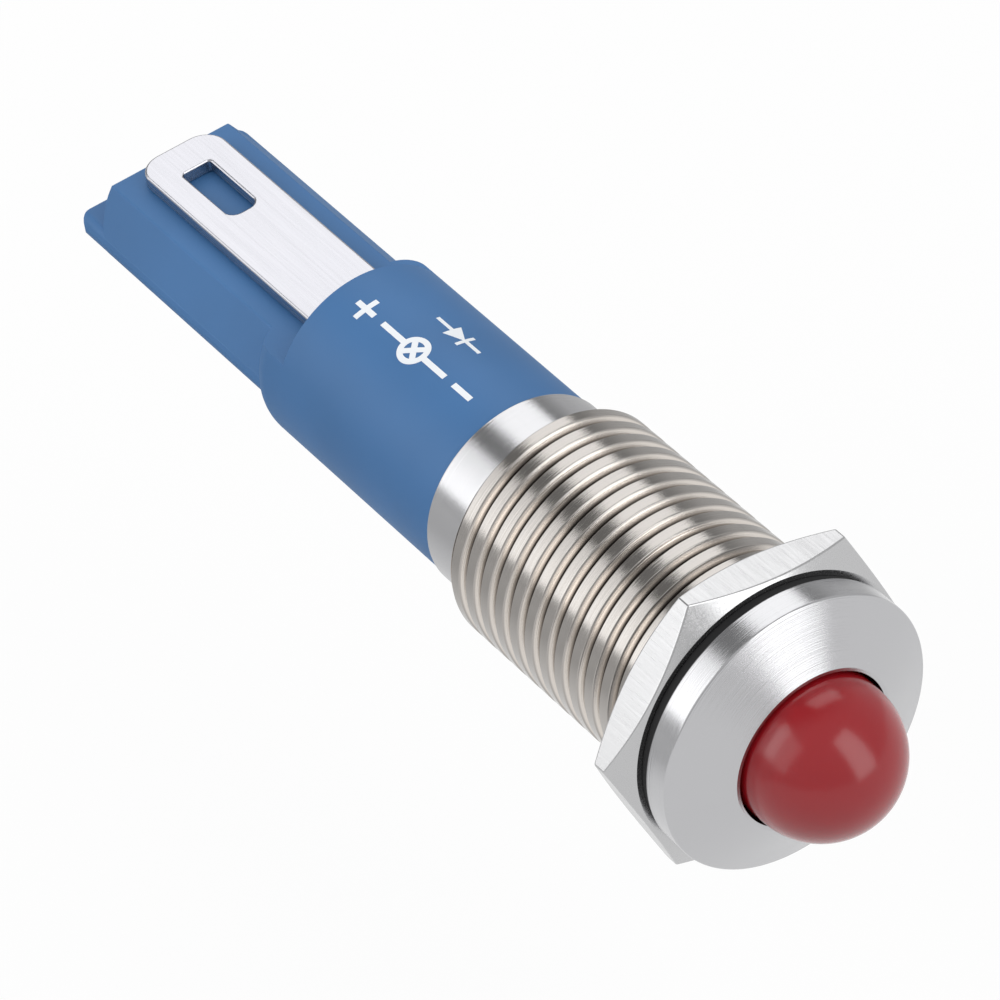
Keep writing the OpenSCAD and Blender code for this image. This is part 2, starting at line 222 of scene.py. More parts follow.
def machine(piece: Piece, cut: Cut, *tools: Piece) -> Piece:
    """Joins, cuts or trims a piece with other solids, which are used up.

    Args:
        piece: The piece that is changed.
        cut: What is done with the tools.
        tools: Closed solids.

    Returns:
        The piece.
    """
    for tool in tools:
        apply_modifier(piece, "BOOLEAN", operation=cut.value, object=tool, solver="EXACT")
        bpy.data.objects.remove(tool)
    return piece


def outline(name: str, points: Sequence[Point], rounds: Rounds | None = None, closed: bool = False) -> Piece:
    """Draws a line of edges in the XY plane, with some of its corners rounded.

    Args:
        name: The new piece's name.
        points: Corners as (x, y), in millimetres.
        rounds: Radius of the rounding by the corner's number.
        closed: Whether the last corner joins the first.

    Returns:
        A piece with edges and no faces.
    """
    bpy.ops.object.select_all(action="DESELECT")
    bpy.ops.mesh.primitive_plane_add(size=1, enter_editmode=True, location=(0, 0, 0))
    piece = bpy.context.active_object
    piece.name = name
    bpy.ops.mesh.merge(type="CENTER")
    bpy.ops.transform.translate(value=(*points[0], 0))
    way_round = [*points, points[0]] if closed else points
    for start, end in zip(way_round, way_round[1:]):
        step = (end[0] - start[0], end[1] - start[1], 0)
        bpy.ops.mesh.extrude_vertices_move(TRANSFORM_OT_translate={"value": step})
    bpy.ops.mesh.select_all(action="SELECT")
    bpy.ops.mesh.remove_doubles(threshold=MERGE)
    for number, radius in sorted((rounds or {}).items()):
        corner = Vector((*points[number], 0))
        before = Vector((*points[number - 1], 0)) - corner
        after = Vector((*points[(number + 1) % len(points)], 0)) - corner
        tangent = radius / math.tan(before.angle(after) / 2)
        pick(piece, corner)
        segments = math.ceil(radius * SEGMENTS_PER_MM) if radius > SMALL_ROUND else 3
        bpy.ops.mesh.bevel(offset=tangent, offset_type="OFFSET", segments=segments, affect="VERTICES")
    bpy.ops.object.mode_set(mode="OBJECT")
    return piece


def turned(name: str, section: Sequence[Point], rounds: Rounds | None = None) -> Piece:
    """Turns a half section about the barrel's axis, as on a lathe.

    Args:
        name: The new piece's name.
        section: Corners as (radius, distance behind the panel). Either both ends lie on the axis, or the last
            corner is the first one again.
        rounds: Radius of the rounding by the corner's number.

    Returns:
        A closed solid.
    """
    piece = outline(name, section, rounds)
    with editing(piece):
        bpy.ops.mesh.spin(steps=FACETS, angle=TURN, center=(0, 0, 0), axis=(0, 1, 0))
    seal(piece)
    return piece


def sawn(
    name: str,
    points: Sequence[Point],
    low: float,
    high: float,
    rounds: Rounds | None = None,
    turn: tuple[float, float, float] = (0, 0, 0),
) -> Piece:
    """Makes a part of one section all through, such as a sheet or a bar.

    Args:
        name: The new piece's name.
        points: The section's corners, as (across, distance behind the panel) for a part that isn't turned.
        low: Height of the lower face.
        high: Height of the upper face.
        rounds: Radius of the rounding by the corner's number.
        turn: How the part is turned when it is made.

    Returns:
        A closed solid.
    """
    piece = outline(name, points, rounds, closed=True)
    with editing(piece):
        bpy.ops.mesh.edge_face_add()
        bpy.ops.transform.translate(value=(0, 0, low))
        bpy.ops.mesh.extrude_region_move(TRANSFORM_OT_translate={"value": (0, 0, high - low)})
    piece.rotation_euler = turn
    settle(piece)
    seal(piece)
    return piece


def soften(piece: Piece, width: float, segments: int, angle: float = 30) -> None:
    """Rounds a piece's sharp edges slightly.

    Args:
        piece: The piece that is changed.
        width: Width of the rounding.
        segments: Faces across it.
        angle: Edges sharper than this many degrees are rounded.
    """
    apply_modifier(
        piece,
        "BEVEL",
        width=width,
        segments=segments,
        limit_method="ANGLE",
        angle_limit=math.radians(angle),
        miter_outer="MITER_ARC",
        use_clamp_overlap=True,
    )


# ---- finishes ---------------------------------------------------------------


def add_node(
    tree: Tree,
    kind: str,
    inputs: dict[str | int, object] | None = None,
    **settings: object,
) -> bpy.types.Node:
    """Adds one shader node with its settings, values and links.

    Args:
        tree: The material's or world's node tree.
        kind: The node's type without its ShaderNode prefix.
        inputs: Values by socket; another node's output is linked.
        settings: The node's own settings.

    Returns:
        The new node.
    """
    node = tree.nodes.new(f"ShaderNode{kind}")
    for name, value in settings.items():
        setattr(node, name, value)
    for socket, value in (inputs or {}).items():
        if isinstance(value, Socket):
            tree.links.new(value, node.inputs[socket])
        else:
            node.inputs[socket].default_value = value
    return node


def noise(
    tree: Tree,
    place: Socket,
    size_mm: float,
    detail: float = 2.0,
    roughness: float = 0.5,
    socket: str = "Vector",
    **settings: object,
) -> Socket:
    """Adds a cloudy pattern, with clouds of a size in millimetres, and returns its value."""
    inputs = {socket: place, "Scale": 1 / (size_mm * MM), "Detail": detail, "Roughness": roughness}
    return add_node(tree, "TexNoise", inputs, **settings).outputs["Fac"]


def spread(tree: Tree, pattern: Socket, low: float, high: float) -> Socket:
    """Stretches the middle part of a noise between two values, and returns the result."""
    inputs = {0: pattern, 1: NOISE_LOW, 2: NOISE_HIGH, 3: low, 4: high}
    return add_node(tree, "MapRange", inputs).outputs[0]


def ramp(tree: Tree, value: Socket, low_mm: float, high_mm: float) -> Socket:
    """Returns a straight slope from nought to one between two distances in millimetres."""
    return add_node(tree, "MapRange", {0: value, 1: low_mm * MM, 2: high_mm * MM, 3: 0.0, 4: 1.0}).outputs[0]


def mix(tree: Tree, factor: Socket, first: object, second: object) -> Socket:
    """Returns the blend of two colours or sockets, where the factor is the second one's share."""
    return add_node(tree, "Mix", {"Factor": factor, 6: first, 7: second}, data_type="RGBA").outputs[2]


def reckon(tree: Tree, operation: str, *values: object) -> Socket:
    """Adds a math node, whose values are numbers or sockets, and returns its result."""
    return add_node(tree, "Math", dict(enumerate(values)), operation=operation).outputs[0]


def emboss(tree: Tree, shader: bpy.types.Node, height: Socket, depth_mm: float) -> None:
    """Lets a pattern raise and sink the surface by a depth in millimetres."""
    bump = add_node(tree, "Bump", {"Height": height, "Strength": 1.0, "Distance": depth_mm * MM})
    tree.links.new(bump.outputs[0], shader.inputs["Normal"])


@dataclass(frozen=True)
class Finish:
    """A surface as the maker orders it: what the shader starts from."""

    name: str
    colour: str
    roughness: float
    metallic: float = 0.0
    ior: float = 1.5

    def begin(self) -> tuple[bpy.types.Material, Tree, bpy.types.Node]:
        """Makes the material with its constant values.

        Returns:
            The material, its node tree and its shader.
        """
        material = bpy.data.materials.new(self.name)
        material.use_nodes = True
        tree = material.node_tree
        shader = tree.nodes["Principled BSDF"]
        shader.inputs["Base Color"].default_value = linear(self.colour)
        shader.inputs["Roughness"].default_value = self.roughness
        shader.inputs["Metallic"].default_value = self.metallic
        if not self.metallic:
            shader.inputs["IOR"].default_value = self.ior
        return material, tree, shader

    def material(self) -> bpy.types.Material:
        """Returns the plain material; a kind of surface with a pattern builds its own."""
        return self.begin()[0]


@dataclass(frozen=True)
class TurnedNickel(Finish):
    """Satin nickel plating over turned brass.

    The tool leaves fine rings round the axis, so a highlight breaks into streaks along the part. On the
    thread the brass shows through a little: the crests are rubbed smooth and grey, a painted highlight
    brightens the flanks and painted shade darkens the roots.
    """

    ring_mm: float = 0.05  # coarser than the real feed of about 0.03 mm, so that the rings show
    ring_depth_mm: float = 0.004
    ring_duller: tuple[float, float] = (-0.05, 0.07)
    cloud_mm: float = 1.2
    cloud_duller: tuple[float, float] = (-0.02, 0.03)
    anisotropy: float = 0.45
    streak_turn: float = 0.25  # share of a turn from the tangent to the streaks
    crest_colour: str = ""
    # painted highlight on the thread's flanks
    flank_painted_highlight_colour: str = ""
    # painted shade in the thread's roots
    root_painted_shade_colour: str = ""
    crest_roughness: float = 0.14
    root_shade_to_mm: float = 3.76
    flank_highlight_from_mm: float = 3.86
    flank_to_mm: float = 3.93
    crest_from_mm: float = 3.97
    thread_middle_mm: float = 6.2
    thread_half_mm: float = 4.8

    def material(self) -> bpy.types.Material:
        """Builds rings, a drifting gloss, and painted shade and highlight in the thread's three tones.

        Returns:
            The material.
        """
        material, tree, shader = self.begin()
        place = add_node(tree, "TexCoord").outputs["Object"]
        across = add_node(tree, "VectorMath", {0: place, 1: (1, 0, 1)}, operation="MULTIPLY")
        radius = add_node(tree, "VectorMath", {0: across.outputs[0]}, operation="LENGTH").outputs["Value"]
        behind = add_node(tree, "SeparateXYZ", {0: place}).outputs["Y"]
        along = reckon(tree, "ADD", radius, behind)
        rings = noise(tree, along, self.ring_mm, 3.0, 0.6, "W", noise_dimensions="1D")
        emboss(tree, shader, rings, self.ring_depth_mm)
        clouds = noise(tree, place, self.cloud_mm)
        rough = reckon(
            tree,
            "ADD",
            spread(tree, rings, *(self.roughness + step for step in self.ring_duller)),
            spread(tree, clouds, *self.cloud_duller),
        )
        thread = reckon(tree, "COMPARE", behind, self.thread_middle_mm * MM, self.thread_half_mm * MM)
        crest = reckon(tree, "MULTIPLY", ramp(tree, radius, self.flank_to_mm, self.crest_from_mm), thread)
        rough = reckon(tree, "MULTIPLY_ADD", crest, self.crest_roughness - self.roughness, rough)
        tree.links.new(rough, shader.inputs["Roughness"])
        shader.inputs["Anisotropic"].default_value = self.anisotropy
        shader.inputs["Anisotropic Rotation"].default_value = self.streak_turn
        tangent = add_node(tree, "Tangent", direction_type="RADIAL", axis="Y")
        tree.links.new(tangent.outputs[0], shader.inputs["Tangent"])
        # Painted shade darkens the thread's roots and a painted highlight brightens its flanks.
        flank = ramp(tree, radius, self.root_shade_to_mm, self.flank_highlight_from_mm)
        tone = mix(tree, flank, linear(self.root_painted_shade_colour), linear(self.flank_painted_highlight_colour))
        tone = mix(tree, crest, tone, linear(self.crest_colour))
        tone = mix(tree, thread, linear(self.colour), tone)
        tree.links.new(tone, shader.inputs["Base Color"])
        return material


@dataclass(frozen=True)
class MilledNickel(Finish):
    """Bright plating over drawn or rolled metal, which leaves fine lines along the flats."""

    line_mm: float = 0.07  # coarser than the real 0.02 mm lines, so that they show
    line_length_mm: float = 1.5
    line_depth_mm: float = 0.0008
    line_duller: tuple[float, float] = (-0.06, 0.08)

    def material(self) -> bpy.types.Material:
        """Builds lines along the axis on the flats and a fine grain on the ends.

        Returns:
            The material.
        """
        material, tree, shader = self.begin()
        place = add_node(tree, "TexCoord").outputs["Object"]
        along, across = 1 / (self.line_length_mm * MM), 1 / (self.line_mm * MM)
        stretched = add_node(tree, "Mapping", {"Vector": place, "Scale": (across, along, across)})
        lines = add_node(
            tree,
            "TexNoise",
            {"Vector": stretched.outputs[0], "Scale": 1.0, "Detail": 3.0, "Roughness": 0.65},
        ).outputs["Fac"]
        rough = spread(tree, lines, *(self.roughness + step for step in self.line_duller))
        tree.links.new(rough, shader.inputs["Roughness"])
        emboss(tree, shader, lines, self.line_depth_mm)
        return material


@dataclass(frozen=True)
class Moulded(Finish):
    """Injection-moulded plastic with the fine grain of a spark-eroded tool, which spreads its highlights."""

    grain_mm: float = 0.06  # coarser than the real 0.02 mm grain, so that it shows
    grain_depth_mm: float = 0.0015
    flow_mm: float = 4.0
    tone_shift: float = 0.06

    def material(self) -> bpy.types.Material:
        """Builds the grain and a slow drift of tone.

        Returns:
            The material.
        """
        material, tree, shader = self.begin()
        place = add_node(tree, "TexCoord").outputs["Object"]
        shade = spread(tree, noise(tree, place, self.flow_mm), 1 - self.tone_shift, 1 + self.tone_shift)
        tone = add_node(tree, "HueSaturation", {"Value": shade, "Color": linear(self.colour)}).outputs[0]
        tree.links.new(tone, shader.inputs["Base Color"])
        emboss(tree, shader, noise(tree, place, self.grain_mm, 3.0, 0.6), self.grain_depth_mm)
        return material


@dataclass(frozen=True)
class DiffusedEpoxy(Finish):
    """Cast red epoxy with a diffuser in it: glossy outside, cloudy and glowing a little at thin places."""

    depth_mm: float = 1.2
    depth_by_colour: tuple[float, float, float] = (1.0, 0.12, 0.12)  # red light goes deepest
    scatter: float = 0.6
    clear: float = 0.25
    haze_mm: float = 2.5
    haze_duller: tuple[float, float] = (-0.02, 0.03)

    def material(self) -> bpy.types.Material:
        """Builds the cloudy resin under a smooth surface.

        Returns:
            The material.
        """
        material, tree, shader = self.begin()
        shader.inputs["Subsurface Weight"].default_value = self.scatter
        shader.inputs["Subsurface Radius"].default_value = self.depth_by_colour
        shader.inputs["Subsurface Scale"].default_value = self.depth_mm * MM
        shader.inputs["Transmission Weight"].default_value = self.clear
        haze = noise(tree, add_node(tree, "TexCoord").outputs["Object"], self.haze_mm)
        rough = spread(tree, haze, *(self.roughness + step for step in self.haze_duller))
        tree.links.new(rough, shader.inputs["Roughness"])
        return material


# Satin nickel on turned brass: light grey and streaky, warmer on the thread, with painted shade in its roots
# and a painted highlight on its flanks.
BARREL_NICKEL = TurnedNickel(
    "satin_nickel_turned",
    "#bfbfc1",
    0.18,
    1.0,
    crest_colour="#aeaaa6",
    # painted highlight on the thread's flanks, then painted shade in its roots
    flank_painted_highlight_colour="#dbd4cd",
    root_painted_shade_colour="#48433f",
)
# Bright nickel on the nut: paler and brushed along the flats.
NUT_NICKEL = MilledNickel("bright_nickel_drawn", "#c0c0c1", 0.22, 1.0)
# Bright tin on brass sheet: the palest metal here, with the lines of rolling.
TAB_TIN = MilledNickel("bright_tin_rolled", "#bdbdc2", 0.24, 1.0, line_length_mm=4.0)
# Tinned steel lead frame.
LEAD_TIN = MilledNickel("tinned_lead_frame", "#dddde0", 0.32, 1.0)
# Nitrile rubber: near black with a dull sheen.
SEAL_RUBBER = Moulded("nitrile_rubber", "#0e0e10", 0.7, grain_depth_mm=0.001)
# Polyamide of the rear housing: satin mid blue.
BLUE_POLYAMIDE = Moulded("blue_polyamide_satin", "#386ca1", 0.56, ior=1.53)
# Diffused red epoxy of the lamp.
RED_EPOXY = DiffusedEpoxy("red_epoxy_diffused", "#b01c26", 0.19, ior=1.55)
# Pad-printed white ink: thin, matt and slightly uneven.
PRINT_INK = Moulded("white_pad_print", "#eef2f6", 0.5, grain_depth_mm=0.0005, tone_shift=0.03)
# Natural nylon of the spacer.
NATURAL_NYLON = Moulded("natural_nylon", "#e6e4da", 0.48, ior=1.53)
# Black filled epoxy that closes the housing's rear.
SEALING_RESIN = Moulded("sealing_resin", "#1d1d20", 0.3, ior=1.55, grain_mm=0.5)
# Green solder mask over glass-epoxy laminate.
BOARD_MASK = Moulded("green_solder_mask", "#1f6b3d", 0.3, grain_mm=0.2)
# Ceramic and moulded bodies of the two chips on the board.
CHIP_BODY = Moulded("moulded_chip_body", "#222225", 0.5)
# Reflowed solder: bright with soft dimples.
SOLDER = MilledNickel("reflowed_solder", "#cfcfd2", 0.22, 1.0, line_mm=0.3, line_length_mm=0.3)
# Gold of the bond wire.
GOLD_WIRE = MilledNickel("drawn_gold_wire", "#d4a63a", 0.2, 1.0)
# Semiconductor die.
LED_DIE = Moulded("led_die", "#8a6a3a", 0.25, ior=1.8)


def paint(piece: Piece, finish: Finish) -> None:
    """Gives a piece its finish in place of any other."""
    piece.data.materials.clear()
    piece.data.materials.append(finish.material())


def deliver(piece: Piece, finish: Finish, body: str, slot: str, *stands_for: str) -> Piece:
    """Brings a piece to metres, shades and dresses it, and puts it on its body.

    Args:
        piece: The piece, modelled in millimetres.
        finish: Its surface.
        body: The CAD body that it moves with.
        slot: The record's material slot; not used.
        stands_for: CAD nodes that it replaces.

    Returns:
        The piece.
    """
    take(piece)
    bpy.ops.object.shade_smooth_by_angle(angle=math.radians(SHARP_DEG))
    apply_modifier(piece, "WEIGHTED_NORMAL", mode="FACE_AREA", weight=100, thresh=0.001, keep_sharp=True)
    piece.scale = (MM, MM, MM)
    settle(piece)
    paint(piece, finish)
    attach(piece, body)
    if stands_for:
        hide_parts(*stands_for)
    return piece


# ---- sub-assemblies ---------------------------------------------------------


@dataclass(frozen=True)
class ThreadForm:
    """A right-hand metric fine thread, cut along the barrel."""

    major_r: float = 4.0
    pitch: float = 0.75
    crest: float = 0.38  # wide crests: a shallow thread, rolled rather than cut to its full depth
    depth: float = 0.3
    crest_round: float = 0.04
    root_round: float = 0.01
    steps: int = 144  # faces in one turn
    lead_in: int = 2  # turns wound before the rod begins
    spare: int = 3  # turns wound beyond its length

    @property
    def flank(self) -> float:
        """Returns the length that one flank takes along the axis, at its 30 degree slope."""
        return self.depth * math.tan(math.radians(30))

    def rod(self, name: str, start: float, end: float) -> Piece:
        """Winds one pitch of the thread's section into a solid threaded rod.

        Args:
            name: The new piece's name.
            start: Where the rod begins behind the panel.
            end: Where it ends.

        Returns:
            A closed solid.
        """
        outer, inner = self.major_r, self.major_r - self.depth
        half = self.crest / 2
        turns = math.ceil((end - start) / self.pitch) + self.spare
        first = start - self.lead_in * self.pitch
        rod = outline(
            name,
            [
                (outer, first),
                (outer, first + half),
                (inner, first + half + self.flank),
                (inner, first + self.pitch - half - self.flank),
                (outer, first + self.pitch - half),
                (outer, first + self.pitch),
            ],
            {1: self.crest_round, 2: self.root_round, 3: self.root_round, 4: self.crest_round},
        )
        apply_modifier(
            rod,
            "SCREW",
            axis="Y",
            angle=TURN,
            screw_offset=self.pitch,
            iterations=turns,
            steps=self.steps,
            render_steps=self.steps,
            use_merge_vertices=False,
        )
        with editing(rod):
            bpy.ops.mesh.remove_doubles(threshold=MERGE)
            for at, way in ((start, -1), (end, 1)):
                bpy.ops.mesh.select_all(action="SELECT")
                bpy.ops.mesh.bisect(
                    plane_co=(0, at, 0),
                    plane_no=(0, way, 0),
                    use_fill=True,
                    clear_outer=True,
                )
        seal(rod)
        return rod


@dataclass(frozen=True)
class BezelBushing:
    """The turned bushing: coned head, undercut, threaded barrel and plain collar, bored for the lamp."""

    thread: ThreadForm = ThreadForm()
    rim_t: float = 0.95
    rim_front_r: float = 0.09
    rim_rear_r: float = 0.12
    relief_r: float = 3.525
    thread_start: float = 1.65
    thread_end: float = 10.9
    collar_r: float = 3.43
    hole_r: float = 2.67
    bore_r: float = 3.05
    bore_from: float = 2.48
    edge: float = 0.06  # rounding that tumbling and plating leave on an edge
    lap: float = 0.02  # how far the thread's ends run into the blank, so that no faces coincide

    def build(self) -> Piece:
        """Turns the blank, cuts the thread and bores it.

        Returns:
            The finished bushing.
        """
        low, high = box_mm("bezel_bushing")
        head_r, front, rear = high.x, low.y, high.y
        relief_end = self.thread_start - (self.thread.major_r - self.relief_r)
        run_out_end = self.thread_end + (self.thread.major_r - self.collar_r) / 2
        blank = turned(
            "bezel_bushing_dressed",
            [
                (0, front),
                (self.hole_r, front),
                (head_r, -self.rim_t),
                (head_r, 0),
                (self.relief_r, 0),
                (self.relief_r, self.thread_end),
                (self.collar_r, self.thread_end),
                (self.collar_r, rear),
                (0, rear),
            ],
            {2: self.rim_front_r, 3: self.rim_rear_r, 7: self.edge},
        )
        screw = self.thread.rod("thread", relief_end - 2 * self.lap, run_out_end + 2 * self.lap)
        outer = self.thread.major_r + self.lap / 2
        envelope = turned(
            "envelope",
            [
                (0, relief_end - CLEAR),
                (self.relief_r - self.lap, relief_end - CLEAR),
                (self.relief_r - self.lap, relief_end - self.lap),
                (outer, self.thread_start),
                (outer, self.thread_end),
                (self.collar_r - self.lap, run_out_end + self.lap / 2),
                (self.collar_r - self.lap, rear),
                (0, rear),
            ],
        )
        machine(screw, Cut.KEEP_COMMON, envelope)
        machine(blank, Cut.JOIN, screw)
        bore = turned(
            "bore",
            [
                (0, front - CLEAR),
                (self.hole_r + CLEAR, front - CLEAR),
                (self.hole_r + CLEAR, front - self.lap / 2),
                (self.hole_r, front + self.edge),
                (self.hole_r, self.bore_from),
                (self.bore_r, self.bore_from),
                (self.bore_r, rear + CLEAR),
                (0, rear + CLEAR),
            ],
        )
        machine(blank, Cut.REMOVE, bore)
        seal(blank)
        return deliver(blank, BARREL_NICKEL, "barrel", "nickel_plated_brass", "bezel_bushing")


@dataclass(frozen=True)
class PanelNut:
    """The thin hexagon nut behind the panel, chamfered on both faces."""

    across_flats: float = 9.8
    turn_deg: float = 9.0
    face_in: float = 0.12
    slope_deg: float = 27.0
    bore_r: float = 4.05
    sink: float = 0.2
    edge: float = 0.05
    soft_deg: float = 40.0
    lap: float = 0.001  # how far the turning tool passes outside the corners

    def build(self) -> Piece:
        """Saws the hexagon, chamfers it on both faces and bores it.

        Returns:
            The finished nut.
        """
        low, high = box_mm("panel_nut")
        front, rear = low.y, high.y
        corner_r = self.across_flats / math.sqrt(3)
        face_r = self.across_flats / 2 - self.face_in
        chamfer = (corner_r - face_r) * math.tan(math.radians(self.slope_deg))
        nut = stock(
            "panel_nut_dressed",
            bpy.ops.mesh.primitive_cylinder_add,
            vertices=6,
            radius=corner_r,
            depth=rear - front,
            location=(0, (front + rear) / 2, 0),
            rotation=(QUARTER, 0, 0),
        )
        with editing(nut):
            bpy.ops.transform.rotate(
                value=math.radians(30 - self.turn_deg),
                orient_axis="Y",
                center_override=(0, 0, 0),
            )
        cones = turned(
            "cones",
            [
                (0, front),
                (face_r, front),
                (corner_r + self.lap, front + chamfer),
                (corner_r + self.lap, rear - chamfer),
                (face_r, rear),
                (0, rear),
            ],
        )
        machine(nut, Cut.KEEP_COMMON, cones)
        bore = turned(
            "bore",
            [
                (0, front - CLEAR),
                (self.bore_r + self.sink + CLEAR, front - CLEAR),
                (self.bore_r, front + self.sink),
                (self.bore_r, rear - self.sink),
                (self.bore_r + self.sink + CLEAR, rear + CLEAR),
                (0, rear + CLEAR),
            ],
        )
        machine(nut, Cut.REMOVE, bore)
        seal(nut)
        soften(nut, self.edge, 3, self.soft_deg)
        return deliver(nut, NUT_NICKEL, "nut", "nickel_plated_nut", "panel_nut")


@dataclass(frozen=True)
class DomeLamp:
    """The cast lamp that shows through the head, with the parts that it is cast round."""

    body_r: float = 2.55
    flange_t: float = 1.0
    flange_r: float = 2.95
    edge: float = 0.05

    def build(self) -> Piece:
        """Turns the dome, body and base flange.

        Returns:
            The finished lamp body.
        """
        low, high = box_mm("led_lens")
        tip, base = low.y, high.y
        lens = turned(
            "led_lens_dressed",
            [
                (0, tip),
                (self.body_r, tip),
                (self.body_r, base - self.flange_t),
                (self.flange_r, base - self.flange_t),
                (self.flange_r, base),
                (0, base),
            ],
            {1: self.body_r - MERGE, 3: self.edge, 4: self.edge},
        )
        return deliver(lens, RED_EPOXY, "barrel", "red_epoxy", "led_lens")


@dataclass(frozen=True)
class RearHousing:
    """The moulded housing: spigot, round body, two flats and the tongue with its web."""

    body_r: float = 3.365
    shoulder_r: float = 1.0
    flat_start: float = 20.94
    flat_in: float = 1.76
    tongue_t: float = 3.16
    flat_w: float = 4.5
    web_w: float = 6.5
    web_t: float = 0.8
    web_out: float = 0.8
    web_corner_r: float = 0.48
    core_corner_r: float = 1.1
    spigot_r: float = 3.0
    groove_r: float = 2.63
    groove_from: float = 8.38
    groove_w: float = 0.46
    cavity_r: float = 2.3
    back_wall: float = 19.6
    seat_end: float = 20.04
    tab_w: float = 2.95
    tail_w: float = 1.3
    tab_t: float = 0.5
    neck_r: float = 0.05
    passage_over: float = 0.5
    edge: float = 0.1
    lap: float = 0.002  # how far the body's flats stand over the tongue's, so that no faces coincide
    over: float = 0.01  # how far a tool passes what it leaves
    sink: float = 0.05  # how far the tongue starts inside the body

    def build(self) -> Piece:
        """Moulds the housing and hollows it.

        Returns:
            The finished housing.
        """
        low, high = box_mm("rear_housing")
        front, end = low.y, high.y
        collar_end = box_mm("bezel_bushing")[1].y
        body_end = self.flat_start + self.flat_in
        housing = turned(
            "rear_housing_dressed",
            [
                (0, self.back_wall),
                (self.cavity_r, self.back_wall),
                (self.cavity_r, front),
                (self.spigot_r, front),
                (self.spigot_r, self.groove_from),
                (self.groove_r, self.groove_from),
                (self.groove_r, self.groove_from + self.groove_w),
                (self.spigot_r, self.groove_from + self.groove_w),
                (self.spigot_r, collar_end),
                (self.body_r, collar_end),
                (self.body_r, body_end),
                (0, body_end),
            ],
            {9: self.neck_r, 10: self.shoulder_r},
        )
        for side in (1, -1):
            flat = self.block(
                "flat",
                (-2 * self.body_r, self.flat_start, side * (self.tongue_t / 2 + self.lap)),
                (2 * self.body_r, end + CLEAR, side * 2 * self.body_r),
            )
            machine(housing, Cut.REMOVE, flat)
        for side in (1, -1):
            inner, outer = side * self.tongue_t / 2, side * (self.tongue_t / 2 + self.tab_t)
            seat = self.block(
                "seat",
                (-self.tab_w / 2, self.seat_end, inner),
                (self.tab_w / 2, self.flat_start + self.over, outer),
            )
            passage = self.block(
                "passage",
                (-self.tail_w / 2, self.back_wall - self.passage_over, inner),
                (self.tail_w / 2, self.seat_end + self.passage_over, outer),
            )
            machine(housing, Cut.REMOVE, seat, passage)
        machine(housing, Cut.JOIN, self.tongue())
        seal(housing)
        return deliver(housing, BLUE_POLYAMIDE, "barrel", "blue_plastic", "rear_housing")

    def tongue(self) -> Piece:
        """Makes the tongue with its web, which starts inside the round body.

        Returns:
            A closed solid.
        """
        high = box_mm("rear_housing")[1]
        start, core_end = self.flat_start + self.sink, high.y - self.web_out
        tongue = self.bar("tongue", self.web_section(), start + 2 * self.sink, high.y)
        machine(tongue, Cut.KEEP_COMMON, self.plan(start + self.sink, high.y, self.web_corner_r))
        core = self.bar("core", self.tongue_section(), start, core_end)
        soften(core, self.edge, 4)
        machine(core, Cut.KEEP_COMMON, self.plan(start - self.sink, core_end + self.over, self.core_corner_r))
        return machine(tongue, Cut.JOIN, core)

    def plan(self, start: float, end: float, corner_r: float) -> Piece:
        """Makes a block as wide as the web with two rounded rear corners, to trim a bar with.

        Args:
            start: Where it begins behind the panel.
            end: Where it ends.
            corner_r: Radius of its rear corners.

        Returns:
            A closed solid.
        """
        side = self.web_w / 2 + self.over
        corners = [(-side, start), (side, start), (side, end), (-side, end)]
        return sawn("plan", corners, -self.tongue_t, self.tongue_t, {2: corner_r, 3: corner_r})

    def web_side(self) -> list[Point]:
        """Finds where the flank's slopes meet the web's round edge.

        Returns:
            Three corners, of which the middle one is rounded to half the web's thickness.
        """
        web = self.web_w / 2
        middle, slant = web - self.web_t / 2, self.web_t / 2 * math.sin(math.radians(45))
        tangents_meet = middle + self.web_t / 2 * math.sqrt(2)
        return [(middle + slant, slant), (tangents_meet, 0), (middle + slant, -slant)]

    def web_section(self) -> tuple[list[Point], Rounds]:
        """Lays out the web's section: flat above and below, round at both edges.

        Returns:
            Its corners as (across, height), and its roundings.
        """
        web, half = self.web_w / 2, self.web_t / 2
        return (
            [(web, half), (web, -half), (-web, -half), (-web, half)],
            {number: half * FULL_ROUND for number in range(4)},
        )

    def tongue_section(self) -> tuple[list[Point], Rounds]:
        """Lays out the tongue's section: two flats and flanks that slope down to the web's round edges.

        Returns:
            Its corners as (across, height), and its roundings.
        """
        half = [(self.flat_w / 2, self.tongue_t / 2), *self.web_side(), (self.flat_w / 2, -self.tongue_t / 2)]
        whole = half + [(-x, z) for x, z in reversed(half)]
        return whole, {number: self.web_t / 2 * FULL_ROUND for number in (2, 7)}

    def bar(self, name: str, section: tuple[list[Point], Rounds], start: float, end: float) -> Piece:
        """Makes a straight bar along the axis, from start to end behind the panel, of one section."""
        points, rounds = section
        return sawn(name, points, -end, -start, rounds, (QUARTER, 0, 0))

    def block(self, name: str, first: Sequence[float], second: Sequence[float]) -> Piece:
        """Makes a rectangular cutting tool.

        Args:
            name: The new tool's name.
            first: One corner.
            second: The corner opposite.

        Returns:
            A closed solid.
        """
        return stock(
            name,
            bpy.ops.mesh.primitive_cube_add,
            size=1,
            location=[(a + b) / 2 for a, b in zip(first, second)],
            scale=[abs(b - a) for a, b in zip(first, second)],
        )


class Pole(Enum):
    """The two sides of the tongue."""

    POSITIVE = 1
    NEGATIVE = -1


